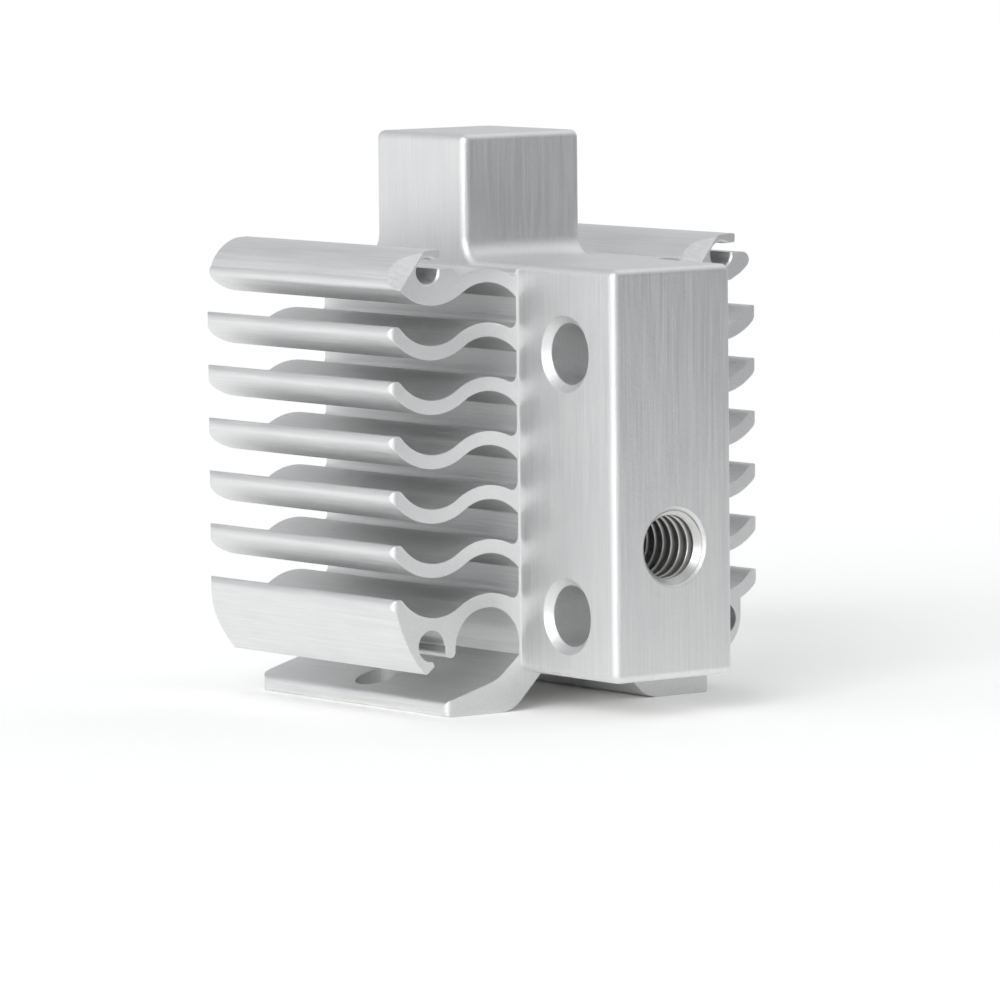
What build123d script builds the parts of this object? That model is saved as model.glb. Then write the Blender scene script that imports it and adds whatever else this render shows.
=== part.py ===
"""Heat sink of a small hot end: an extruded aluminium body, milled to shape.

X runs across the fins, Y along the extrusion and Z up. The origin is the middle
of the body's footprint, on the plane that its two feet stand on.
"""

import os
from math import asin, degrees, sqrt

from build123d import *

os.makedirs("parts", exist_ok=True)

# Overall sizes, in millimetres
overall_width = 25.0
overall_height = 30.8
fin_depth = 17.4
block_reach = 8.25

# Milled spine: the mounting block, the shelf and the square boss on top of it
spine_width = 8.0
spine_bottom = 2.1
shelf_height = 24.05
boss_length = 8.0
boss_foot_radius = 1.2
corner_radius = 0.4
edge_radius = 0.45

# Extruded column that carries the fins
column_width = 8.2
column_top = 23.75

# Wavy fins, all of one thickness
fin_count = 7
fin_pitch = 2.9
fin_thickness = 0.75
lowest_crest = 6.5
crest_distance = 6.15
valley_distance = 9.68
wave_drop = 1.085
tip_roundness = 1.31
root_radius = 0.4
top_root_radius = 0.2
front_corner_radius = 0.4
back_corner_radius = 1.0

# Screw ports of a 25 mm fan, at the corners of a square
fan_spacing = 20.0
upper_port_height = 23.9
upper_port_radius = 0.7
port_countersink = 0.1
cradle_radius = 2.65
cradle_wing = 1.55
right_cradle_drop = 0.785
hook_thickness = 0.4
hook_bulge = 1.85
hook_overhang = 0.78
right_hook_overhang = 0.95
hook_gap = 0.55
hook_bevel_depth = 1.3
port_boss_reach = 1.95
port_sink = 1.4
lower_port_height = 3.93
lower_port_radius = 0.85
port_leg_width = 0.65
port_leg_drop = 0.72
port_leg_clearance = 0.09
jaw_thickness = 0.72
jaw_overhang = 0.2
outer_wall = 0.33

# Feet, each with a screw hole
foot_reach = 9.0
foot_heel = 4.6
leg_inset = 2.5
foot_thickness = 0.95
foot_hole_spacing = 14.0
foot_hole_diameter = 2.7
foot_hole_depth = 2.2

# Holes of the mounting block
cross_hole_diameter = 3.3
cross_hole_spacing = 14.0
cross_hole_height = 5.4
cross_hole_setback = 4.2
cross_hole_chamfer = 0.4
thread_diameter = 4.0
thread_depth = 9.0
thread_height = 9.15
thread_chamfer = 0.15

# Socket for the heat break, bored into the spine from below
socket_diameter = 4.0
socket_depth = 18.0

# Places along Y: the ends of the body and the line that the boss and socket stand on
front = -(block_reach + fin_depth) / 2
back = front + block_reach + fin_depth
fin_front = back - fin_depth
stack_y = (fin_front + back) / 2

# Wave of the fins: two equal arcs join a crest to the valley beside it
half_span = (valley_distance - crest_distance) / 2
wave_radius = (half_span**2 + (wave_drop / 2) ** 2) / wave_drop
crest_line = -fin_thickness / 2
tip_span = overall_width / 2 - fin_thickness / 2 - valley_distance
tip_radius = tip_roundness * tip_span
valley_floor = lowest_crest - fin_thickness - wave_drop


def wavy_fin(end_radius, reach, drop):
    """One fin of the +X side, from inside the column to its round, upturned tip, with its crest at height 0."""
    bend_radius = (half_span**2 + (drop / 2) ** 2) / drop
    bend_angle = degrees(asin(half_span / bend_radius))
    root_angle = degrees(asin((crest_distance - spine_width / 2 + 0.4) / bend_radius))
    end_angle = degrees(asin((reach - valley_distance) / end_radius))
    with BuildSketch() as fin:
        with BuildLine():
            crest = (crest_distance, crest_line)
            JernArc(crest, (-1, 0), bend_radius, root_angle)
            slope = JernArc(crest, (1, 0), bend_radius, -bend_angle)
            valley = JernArc(slope @ 1, slope % 1, bend_radius, bend_angle)
            tip = JernArc(valley @ 1, (1, 0), end_radius, end_angle)
            offset(amount=fin_thickness / 2, side=Side.BOTH)
        make_face()
        with Locations(tip @ 1):
            Circle(fin_thickness / 2)
    return fin.sketch


def upper_port(overhang, boss_corner):
    """Screw port over the top fin: a hook that leans over the hole and a low boss beside it."""
    crown = upper_port_radius + hook_thickness
    lip = (overhang, crown + 0.04)
    nose = (overhang, hook_gap + 0.1)
    chin = (overhang / 2, hook_gap + 0.06)
    boss = (port_boss_reach - 0.1, 0.1)
    with BuildSketch() as port:
        with BuildLine():
            side = ThreePointArc((-hook_bulge, -0.6), (-0.62 * hook_bulge, crown - 0.6), (0, crown))
            Polyline(side @ 1, lip, nose, chin, (0, hook_gap), (0, 0.1), boss,
                     boss_corner, (port_sink / 2, -port_sink), (-port_sink / 2, -port_sink), side @ 0)
        make_face()
        for place, radius in ((lip, 0.12), (nose, 0.1), (chin, 0.15), (boss, 0.45)):
            fillet(port.vertices().sort_by_distance(place)[0], radius)
        Circle(upper_port_radius, mode=Mode.SUBTRACT)
    return port.sketch


def lower_port():
    """Screw port under the lowest fin: a hooked jaw round the hole and a leg that ends short of it."""
    leg_inner = lower_port_radius + port_leg_clearance
    leg_outer = leg_inner + port_leg_width
    chin = (-0.38, -lower_port_radius - jaw_thickness)
    nose = (jaw_overhang, chin[1] + 0.47)
    with BuildSketch() as port:
        with BuildLine():
            side = ThreePointArc((-2.35, 2.25), (-1.6, 0.15), chin)
            Polyline(side @ 1, nose, (nose[0] / 2, -lower_port_radius - 0.06), (0, 0), (leg_inner, 0),
                     (leg_inner, -port_leg_drop), (leg_outer, -port_leg_drop), (leg_outer, 1.35),
                     (0, 1.15), (-1, 1.2), side @ 0)
        make_face()
        for place, radius in ((chin, 0.22), (nose, 0.1)):
            fillet(port.vertices().sort_by_distance(place)[0], radius)
        ends = port.vertices().sort_by(Axis.X)[-4:].sort_by(Axis.Y)[:2]
        fillet(ends, port_leg_width / 2 - 0.02)
    return port.sketch


def outer_port():
    """Screw port under the lowest fin of the +X side: the leg stands inside, and a thin wall bends in outside."""
    leg_inner = lower_port_radius + port_leg_clearance
    leg_outer = leg_inner + port_leg_width
    wall = lower_port_radius + outer_wall
    chin = (0.38, -lower_port_radius - jaw_thickness + 0.05)
    nose = (-jaw_overhang, chin[1] + 0.42)
    with BuildSketch() as port:
        with BuildLine():
            side = ThreePointArc((wall, 0.25), (0.87 * wall, -0.6), chin)
            Polyline(side @ 1, nose, (nose[0] / 2, -lower_port_radius - 0.06), (0, 0), (-leg_inner, 0),
                     (-leg_inner, -port_leg_drop), (-leg_outer, -port_leg_drop), (-leg_outer, 1.35),
                     (0, 1.15), (wall, 1.7), side @ 0)
        make_face()
        for place, radius in ((chin, 0.2), (nose, 0.1)):
            fillet(port.vertices().sort_by_distance(place)[0], radius)
        ends = port.vertices().sort_by(Axis.X)[:4].sort_by(Axis.Y)[:2]
        fillet(ends, port_leg_width / 2 - 0.02)
    return port.sketch


def arch():
    """Filling under the lowest fin of the +X side, hollowed by a round arch from the column to the port's leg."""
    column_side = column_width / 2
    port_side = fan_spacing / 2 - lower_port_radius - port_leg_clearance - port_leg_width
    radius = (port_side - column_side) / 2
    spring = valley_floor - 1.05
    crest_core = lowest_crest - fin_thickness / 2 - 0.2
    with BuildSketch() as filling:
        with BuildLine():
            Polyline((column_side - 0.3, spring), (port_side + 0.3, spring), (port_side + 0.3, valley_floor + 0.5),
                     (crest_distance + 1.2, crest_core), (crest_distance - 1.2, crest_core),
                     (column_side, crest_core - 0.45), (column_side - 0.3, crest_core - 0.7), close=True)
        make_face()
        with Locations(((port_side + column_side) / 2, spring)):
            Circle(radius, mode=Mode.SUBTRACT)
    return filling.sketch


def leg():
    """One leg of the +X side: it slopes down from the column and ends in a flat foot."""
    knee = (5.6, foot_thickness + 0.85)
    toe = (foot_reach, foot_thickness - 0.1)
    with BuildSketch() as shape:
        with BuildLine():
            Polyline((column_width / 2, spine_bottom + 0.95), knee, toe, (foot_reach, 0), (foot_heel, 0),
                     (leg_inset, spine_bottom), (leg_inset, spine_bottom + 0.95), close=True)
        make_face()
        for place, radius in ((knee, 2.5), (toe, 0.42), ((foot_reach, 0), 0.38), ((foot_heel, 0), 2.0)):
            fillet(shape.vertices().sort_by_distance(place)[0], radius)
    return shape.sketch


def plan(width):
    """Outline of the extrusion from above, with its corners tumbled round."""
    with BuildSketch() as outline:
        with Locations((0, stack_y)):
            Rectangle(width, fin_depth)
        fillet(outline.vertices().group_by(Axis.Y)[0], front_corner_radius)
        fillet(outline.vertices().group_by(Axis.Y)[-1], back_corner_radius)
    return outline.sketch


fin = wavy_fin(tip_radius, overall_width / 2 - fin_thickness / 2, wave_drop)
left_port_fin = wavy_fin(cradle_radius, fan_spacing / 2 + cradle_wing, wave_drop)
right_port_fin = wavy_fin(cradle_radius, fan_spacing / 2 + cradle_wing, right_cradle_drop)
foot = leg()
bridge = arch()
fin_levels = [lowest_crest + i * fin_pitch for i in range(fin_count)]
root_top = crest_line - wave_radius + sqrt(
    (wave_radius + fin_thickness / 2) ** 2 - (crest_distance - column_width / 2) ** 2)

# Column with its fins and the four screw ports
with BuildPart() as fins:
    with BuildSketch(Plane.XZ.offset(-back)) as profile:
        with Locations((0, (spine_bottom + column_top) / 2)):
            Rectangle(column_width, column_top - spine_bottom)
        with Locations([(0, level) for level in fin_levels[:-1]]):
            add(fin)
            add(mirror(fin, about=Plane.YZ, mode=Mode.PRIVATE))
        with Locations((0, fin_levels[-1])):
            add(right_port_fin)
            add(mirror(left_port_fin, about=Plane.YZ, mode=Mode.PRIVATE))
        for side in (-1, 1):
            for level in fin_levels:
                root = profile.vertices().sort_by_distance((side * column_width / 2, level + root_top))[0]
                fillet(root, top_root_radius if level == fin_levels[-1] else root_radius)
        with Locations((-fan_spacing / 2, upper_port_height)):
            add(upper_port(hook_overhang, (port_boss_reach + 0.1, -0.75)))
        with Locations((fan_spacing / 2, upper_port_height)):
            add(upper_port(right_hook_overhang, (port_boss_reach, -0.4)))
        add(bridge)
        add(mirror(bridge, about=Plane.YZ, mode=Mode.PRIVATE))
        with Locations((-fan_spacing / 2, lower_port_height)):
            add(lower_port())
        with Locations((fan_spacing / 2, lower_port_height)):
            add(outer_port())
        with Locations((-fan_spacing / 2, lower_port_height), (fan_spacing / 2, lower_port_height)):
            Circle(lower_port_radius, mode=Mode.SUBTRACT)
    extrude(amount=fin_depth)
    add(plan(overall_width))
    extrude(amount=overall_height, mode=Mode.INTERSECT)
    for side in (-1, 1):
        port_x = side * fan_spacing / 2
        with Locations(Plane((port_x, fin_front, upper_port_height), z_dir=(0, -1, 0))):
            CounterSinkHole(upper_port_radius, upper_port_radius + port_countersink, fin_depth, 90)
        bevel = Plane((port_x - 1.07, fin_front, upper_port_height + 0.03), x_dir=(0.62, 0, 0.78),
                      z_dir=(-0.78, -0.35 / hook_bevel_depth, 0.62))
        with Locations(bevel):
            Box(2.6, 2 * hook_bevel_depth + 0.6, 1.5, align=(Align.CENTER, Align.CENTER, Align.MIN), mode=Mode.SUBTRACT)

# Legs, one on each side
with BuildPart() as legs:
    with BuildSketch(Plane.XZ.offset(-back)):
        add(foot)
        add(mirror(foot, about=Plane.YZ, mode=Mode.PRIVATE))
    extrude(amount=fin_depth)
    add(plan(2 * foot_reach))
    extrude(amount=overall_height, mode=Mode.INTERSECT)
    for side in (-1, 1):
        with Locations(Plane((side * foot_hole_spacing / 2, stack_y, 0), z_dir=(0, 0, -1))):
            Hole(foot_hole_diameter / 2, foot_hole_depth)

# Spine: one plate with the block, the shelf and the boss in its outline
with BuildPart() as spine:
    with BuildSketch(Plane.YZ) as outline:
        boss_front = stack_y - boss_length / 2
        boss_back = stack_y + boss_length / 2
        with BuildLine():
            Polyline((front, spine_bottom), (back, spine_bottom), (back, shelf_height),
                     (boss_back, shelf_height), (boss_back, overall_height), (boss_front, overall_height),
                     (boss_front, shelf_height), (front, shelf_height), close=True)
        make_face()
        for y in (boss_front, boss_back):
            fillet(outline.vertices().sort_by_distance((y, shelf_height))[0], boss_foot_radius)
        for corner in ((front, spine_bottom), (front, shelf_height), (back, shelf_height),
                       (boss_front, overall_height), (boss_back, overall_height)):
            fillet(outline.vertices().sort_by_distance(corner)[0], corner_radius)
    extrude(amount=spine_width / 2, both=True)
    fillet(spine.faces().filter_by(Axis.X).edges(), edge_radius)

# The whole body, then the holes that are drilled in it
with BuildPart() as heat_sink:
    add(spine.part)
    add(fins.part)
    add(legs.part)
    for height in (cross_hole_height, cross_hole_height + cross_hole_spacing):
        with Locations(Plane((spine_width / 2, front + cross_hole_setback, height), z_dir=(1, 0, 0))):
            Hole(cross_hole_diameter / 2, spine_width)
    cross_rims = heat_sink.edges().filter_by(GeomType.CIRCLE)
    chamfer([e for e in cross_rims if abs(e.radius - cross_hole_diameter / 2) < 0.001], cross_hole_chamfer)
    with Locations(Plane((0, front, thread_height), z_dir=(0, -1, 0))):
        CounterSinkHole(thread_diameter / 2, thread_diameter / 2 + thread_chamfer, thread_depth, 90)
    with Locations(Plane((0, stack_y, spine_bottom), z_dir=(0, 0, -1))):
        Hole(socket_diameter / 2, socket_depth)

heat_sink.part.label = "heat_sink"
export_step(heat_sink.part, "parts/heat_sink.step")
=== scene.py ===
"""Looks of the hot-end heat sink: satin aluminium, its tapped thread, soft studio light and the camera."""

from math import cos, radians, sin

import bpy
import numpy as np
from mathutils import Matrix, Vector


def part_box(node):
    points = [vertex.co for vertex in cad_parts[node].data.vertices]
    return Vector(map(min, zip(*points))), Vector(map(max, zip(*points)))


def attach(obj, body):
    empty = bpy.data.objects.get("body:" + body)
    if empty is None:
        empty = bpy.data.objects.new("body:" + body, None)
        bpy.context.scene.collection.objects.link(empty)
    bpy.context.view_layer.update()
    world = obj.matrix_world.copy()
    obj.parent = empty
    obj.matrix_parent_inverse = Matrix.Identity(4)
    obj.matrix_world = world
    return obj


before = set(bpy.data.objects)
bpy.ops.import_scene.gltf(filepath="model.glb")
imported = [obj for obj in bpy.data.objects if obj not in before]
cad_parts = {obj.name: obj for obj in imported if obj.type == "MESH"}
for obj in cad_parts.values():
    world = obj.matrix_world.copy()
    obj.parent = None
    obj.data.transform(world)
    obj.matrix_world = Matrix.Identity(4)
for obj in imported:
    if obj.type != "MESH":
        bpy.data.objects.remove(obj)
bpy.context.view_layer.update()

MM = 0.001
heat_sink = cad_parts["heat_sink"]
front_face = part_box("heat_sink")[0].y

# Tapped hole in the front of the block, M4 with its 0.7 mm pitch
thread_height = 9.15 * MM
thread_pitch = 0.7 * MM
thread_start = front_face + 0.16 * MM
thread_turns = 12
points_per_turn = 24
points_round = 120
root_radius = 1.98 * MM
crest_radius = 1.67 * MM
shell_radius = 2.02 * MM

# Sizes of the patterns on the metal and the paper. The fins begin just outside the column's sides.
fins_begin = 4.05 * MM
block_line = Vector((0.09, 0.09, 4.0)) * MM
fin_line = Vector((0.11, 5.5, 0.11)) * MM
grain_size = 0.15 * MM
cloud_size = 4.0 * MM
tap_mark_size = 0.33 * MM
fibre_size = 2.5 * MM
edge_radius = 0.1 * MM
relief_depth = 0.04 * MM
relief_strength = 0.25

# Most values of a noise lie between these two
noise_low = 0.3
noise_high = 0.7

# Painted shade: the paper's colour greys between these distances from the object, towards the front right,
# standing in for the floor there lying in less light
painted_shade_direction = (0.6, -0.8, 0.0)
painted_shade_begins = 50 * MM
painted_shade_full = 90 * MM
paper_strength = 1.3
floor_reach = 8.0

# Camera of the photograph, fitted to straight edges of the object
camera_azimuth = radians(-37.32)
camera_elevation = radians(5.316)
camera_roll = radians(-0.564)
camera_distance = 414.23 * MM
camera_lens = 277.02
camera_shift_right = -4.237 * MM
camera_shift_up = -3.835 * MM
camera_middle = Vector((0, -4.575, 15)) * MM

right = Vector((cos(camera_azimuth), sin(camera_azimuth), 0))
back = Vector((sin(camera_azimuth) * cos(camera_elevation), -cos(camera_azimuth) * cos(camera_elevation),
               sin(camera_elevation)))
up = back.cross(right)
target = camera_middle + right * camera_shift_right + up * camera_shift_up
eye = target + back * camera_distance
turned_right = right * cos(camera_roll) + up * sin(camera_roll)
turned_up = up * cos(camera_roll) - right * sin(camera_roll)

camera = bpy.data.objects.new("camera", bpy.data.cameras.new("camera"))
camera.matrix_world = Matrix.Translation(eye) @ Matrix((turned_right, turned_up, back)).transposed().to_4x4()
camera.data.sensor_width = 36
camera.data.lens = camera_lens
camera.data.clip_start = 0.01
camera.data.clip_end = 50
bpy.context.scene.collection.objects.link(camera)
bpy.context.scene.camera = camera


def linear(hex_colour):
    """Turns an sRGB hex colour such as #D9DADA into linear red, green, blue and alpha."""
    parts = np.array([int(hex_colour[i:i + 2], 16) / 255 for i in (1, 3, 5)])
    parts = np.where(parts <= 0.04045, parts / 12.92, ((parts + 0.055) / 1.055) ** 2.4)
    return (*parts, 1.0)


def add_node(tree, kind, inputs=None, **settings):
    """Adds a node with its settings. Each named input gets a value, or a link from an output."""
    node = tree.nodes.new(kind)
    for name, value in settings.items():
        setattr(node, name, value)
    for name, value in (inputs or {}).items():
        if isinstance(value, bpy.types.NodeSocket):
            tree.links.new(value, node.inputs[name])
        else:
            node.inputs[name].default_value = value
    return node


def new_material(name):
    """A material with an empty tree and its output node."""
    material = bpy.data.materials.new(name)
    material.use_nodes = True
    tree = material.node_tree
    tree.nodes.clear()
    return material, tree, tree.nodes.new("ShaderNodeOutputMaterial")


def satin_aluminium():
    """Extruded and milled aluminium, etched satin: a pale grey metal with fine lines and softened edges.

    The lines run up and down on the block, the column and the boss, and along Y on the fins and the legs.
    They are drawn nearly two pixels of the render wide, coarser than the real ones, because finer ones
    don't show.
    """
    material, tree, output = new_material("satin_aluminium")
    place = add_node(tree, "ShaderNodeTexCoord").outputs["Object"]
    across = add_node(tree, "ShaderNodeSeparateXYZ", {"Vector": place}).outputs["X"]
    beside = add_node(tree, "ShaderNodeMath", {0: across}, operation="ABSOLUTE").outputs[0]
    on_fins = add_node(tree, "ShaderNodeMath", {0: beside, 1: fins_begin},
                       operation="GREATER_THAN").outputs[0]
    line_size = add_node(tree, "ShaderNodeMix", {"Factor": on_fins, "A": block_line, "B": fin_line},
                         data_type="VECTOR").outputs["Result"]
    line_place = add_node(tree, "ShaderNodeVectorMath", {0: place, 1: line_size},
                          operation="DIVIDE").outputs[0]
    lines = add_node(tree, "ShaderNodeTexNoise", {"Vector": line_place, "Scale": 1.0,
                                                  "Detail": 3.0}).outputs["Fac"]
    grain = add_node(tree, "ShaderNodeTexNoise", {"Vector": place, "Scale": 1 / grain_size,
                                                  "Detail": 2.0}).outputs["Fac"]
    cloud = add_node(tree, "ShaderNodeTexNoise", {"Vector": place, "Scale": 1 / cloud_size,
                                                  "Detail": 3.0}).outputs["Fac"]

    edge_normal = add_node(tree, "ShaderNodeBevel", {"Radius": edge_radius}, samples=4).outputs["Normal"]
    height = add_node(tree, "ShaderNodeMath", {0: grain, 1: lines}, operation="ADD").outputs[0]
    bump = add_node(tree, "ShaderNodeBump", {"Height": height, "Strength": relief_strength,
                                             "Distance": relief_depth, "Normal": edge_normal}).outputs[0]
    line_share = add_node(tree, "ShaderNodeMath", {0: lines, 1: 0.7}, operation="MULTIPLY").outputs[0]
    shade = add_node(tree, "ShaderNodeMath", {0: cloud, 1: 0.3, 2: line_share},
                     operation="MULTIPLY_ADD").outputs[0]
    tone = add_node(tree, "ShaderNodeMapRange", {"Value": shade, "From Min": noise_low,
                                                 "From Max": noise_high}).outputs[0]
    colour = add_node(tree, "ShaderNodeMix", {"Factor": tone, "A": linear("#E1E2E3"), "B": linear("#EEEEED")},
                      data_type="RGBA").outputs["Result"]
    roughness = add_node(tree, "ShaderNodeMapRange", {"Value": lines, "From Min": noise_low,
                                                      "From Max": noise_high, "To Min": 0.46,
                                                      "To Max": 0.58}).outputs[0]
    metal = add_node(tree, "ShaderNodeBsdfPrincipled", {"Base Color": colour, "Metallic": 1.0,
                                                        "Roughness": roughness, "Normal": bump})
    tree.links.new(metal.outputs[0], output.inputs["Surface"])
    return material


def tapped_aluminium():
    """Cut thread: smoother and darker than the satin faces, with fine marks from the tap."""
    material, tree, output = new_material("tapped_aluminium")
    place = add_node(tree, "ShaderNodeTexCoord").outputs["Object"]
    marks = add_node(tree, "ShaderNodeTexNoise", {"Vector": place, "Scale": 1 / tap_mark_size,
                                                  "Detail": 2.0}).outputs["Fac"]
    roughness = add_node(tree, "ShaderNodeMapRange", {"Value": marks, "To Min": 0.34,
                                                      "To Max": 0.5}).outputs[0]
    metal = add_node(tree, "ShaderNodeBsdfPrincipled", {"Base Color": linear("#D2D2D0"), "Metallic": 1.0,
                                                        "Roughness": roughness})
    tree.links.new(metal.outputs[0], output.inputs["Surface"])
    return material


def grid_object(name, points, material):
    """Makes a mesh of a grid of points that closes on itself both ways."""
    rows, columns = points.shape[:2]
    index = np.arange(rows * columns).reshape(rows, columns)
    next_row = np.roll(index, -1, axis=0)
    corners = np.stack([index, next_row, np.roll(next_row, -1, axis=1), np.roll(index, -1, axis=1)], axis=-1)
    mesh = bpy.data.meshes.new(name)
    mesh.from_pydata(points.reshape(-1, 3).tolist(), [], corners.reshape(-1, 4).tolist())
    mesh.shade_smooth()
    mesh.materials.append(material)
    piece = bpy.data.objects.new(name, mesh)
    bpy.context.scene.collection.objects.link(piece)
    return piece


def thread_points():
    """Inner thread as a thin closed shell round the hole.

    Round the hole by angle a and along it by depth d, the radius is the root radius less the thread's height
    times a wave. In the share of a turn, d / pitch - a / 360 degrees, that wave is a trapezium with rounded
    corners, which rises over a quarter of a turn. A cone of 45 degrees cuts the first turns off and starts on
    the shell's outer cylinder, where the last point of each profile lies too, so that the shell closes.
    """
    wave_top = 1.9
    wave_slope = 4
    angle = np.linspace(0, 2 * np.pi, points_round, endpoint=False)[:, None]
    depth = np.linspace(0, thread_turns * thread_pitch, thread_turns * points_per_turn + 1)[None, :]
    turn = (depth / thread_pitch - angle / (2 * np.pi)) % 1
    wave = np.clip(wave_top - wave_slope * np.abs(turn - 0.5), 0, 1)
    wave = wave * wave * (3 - 2 * wave)
    radius = np.maximum(root_radius - (root_radius - crest_radius) * wave, shell_radius - depth)
    radius = np.concatenate([radius, np.full((len(angle), 1), shell_radius)], axis=1)
    depth = np.concatenate([depth[0], depth[0, -1:]])[None, :] + 0 * radius
    across = radius * np.cos(angle)
    height = thread_height + radius * np.sin(angle)
    return np.stack([across, thread_start + depth, height], axis=-1)


heat_sink.data.materials[0] = satin_aluminium()

thread = grid_object("thread", thread_points(), tapped_aluminium())
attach(thread, "root")


def floor_paper():
    """White matt paper with painted shade: its colour greys towards the front and right, outside the picture,
    and the metal shows that painted shade in its reflections.

    The camera and the metal see it at the strength that makes it full white under the object.
    """
    material, tree, output = new_material("floor_paper")
    place = add_node(tree, "ShaderNodeTexCoord").outputs["Object"]
    fibre = add_node(tree, "ShaderNodeTexNoise", {"Vector": place, "Scale": 1 / fibre_size,
                                                  "Detail": 2.0}).outputs["Fac"]
    paper = add_node(tree, "ShaderNodeMix", {"Factor": fibre, "A": linear("#F7F7F5"),
                                             "B": linear("#FAFAF9")}, data_type="RGBA")
    # Painted shade: the paper's colour turns grey (#939496) towards the front right, standing in for less
    # light on the floor there
    ahead = add_node(tree, "ShaderNodeVectorMath", {0: place, 1: painted_shade_direction}, operation="DOT_PRODUCT")
    painted_shade_mask = add_node(tree, "ShaderNodeMapRange", {"Value": ahead.outputs["Value"], "From Min": painted_shade_begins,
                                                 "From Max": painted_shade_full})
    colour = add_node(tree, "ShaderNodeMix", {"Factor": painted_shade_mask.outputs[0], "A": paper.outputs["Result"],
                                              "B": linear("#939496")}, data_type="RGBA")
    path = add_node(tree, "ShaderNodeLightPath")
    seen = add_node(tree, "ShaderNodeMath", {0: path.outputs["Is Camera Ray"],
                                             1: path.outputs["Is Glossy Ray"]}, operation="MAXIMUM")
    gain = add_node(tree, "ShaderNodeMapRange", {"Value": seen.outputs[0], "To Min": 1.0,
                                                 "To Max": paper_strength})
    white = add_node(tree, "ShaderNodeVectorMath", {0: colour.outputs["Result"], "Scale": gain.outputs[0]},
                     operation="SCALE")
    matt = add_node(tree, "ShaderNodeBsdfDiffuse", {"Color": white.outputs[0]})
    tree.links.new(matt.outputs[0], output.inputs["Surface"])
    return material


floor_mesh = bpy.data.meshes.new("floor")
floor_mesh.from_pydata([(-floor_reach, -floor_reach, 0), (floor_reach, -floor_reach, 0),
                        (floor_reach, floor_reach, 0), (-floor_reach, floor_reach, 0)], [], [(0, 1, 2, 3)])
floor_mesh.materials.append(floor_paper())
floor = bpy.data.objects.new("floor", floor_mesh)
bpy.context.scene.collection.objects.link(floor)

# Studio: a plain room, bright to the left and overhead to the right, paler behind and dim in front
# Each wall has the direction to its middle, a narrowness and a strength
side_wall = (Vector((-1.0, 0.0, 0.0)), 3.0, 1.0)
back_wall = (Vector((0.3, 0.95, 0.0)).normalized(), 3.0, 0.42)
ceiling = (Vector((0.6, -0.1, 0.79)).normalized(), 8.0, 0.9)
world = bpy.data.worlds.new("studio")
bpy.context.scene.world = world
world.use_nodes = True
room = world.node_tree
room.nodes.clear()
direction = add_node(room, "ShaderNodeTexCoord").outputs["Generated"]
room_level = 0.12
level = room_level
for middle, narrowness, strength in (side_wall, back_wall, ceiling):
    facing = add_node(room, "ShaderNodeVectorMath", {0: direction, 1: middle}, operation="DOT_PRODUCT")
    share = add_node(room, "ShaderNodeMapRange", {"Value": facing.outputs["Value"], "From Min": -1.0})
    spot = add_node(room, "ShaderNodeMath", {0: share.outputs[0], 1: narrowness}, operation="POWER")
    added = add_node(room, "ShaderNodeMath", {0: spot.outputs[0], 1: strength, 2: level},
                     operation="MULTIPLY_ADD")
    level = added.outputs[0]
sky = add_node(room, "ShaderNodeBackground", {"Color": linear("#FCFDFF"), "Strength": level})
room.links.new(sky.outputs[0], add_node(room, "ShaderNodeOutputWorld").inputs["Surface"])

# Key light: one large soft lamp, low to the left and a little in front
key_elevation = radians(24)
key_direction = Vector((-0.87 * cos(key_elevation), -0.49 * cos(key_elevation), sin(key_elevation)))
key = bpy.data.lights.new("key_light", "SUN")
key.energy = 1.2
key.angle = radians(34)
key_holder = bpy.data.objects.new("key_light", key)
key_holder.rotation_euler = key_direction.to_track_quat("Z", "Y").to_euler()
bpy.context.scene.collection.objects.link(key_holder)

bpy.context.scene.view_settings.view_transform = "Standard"
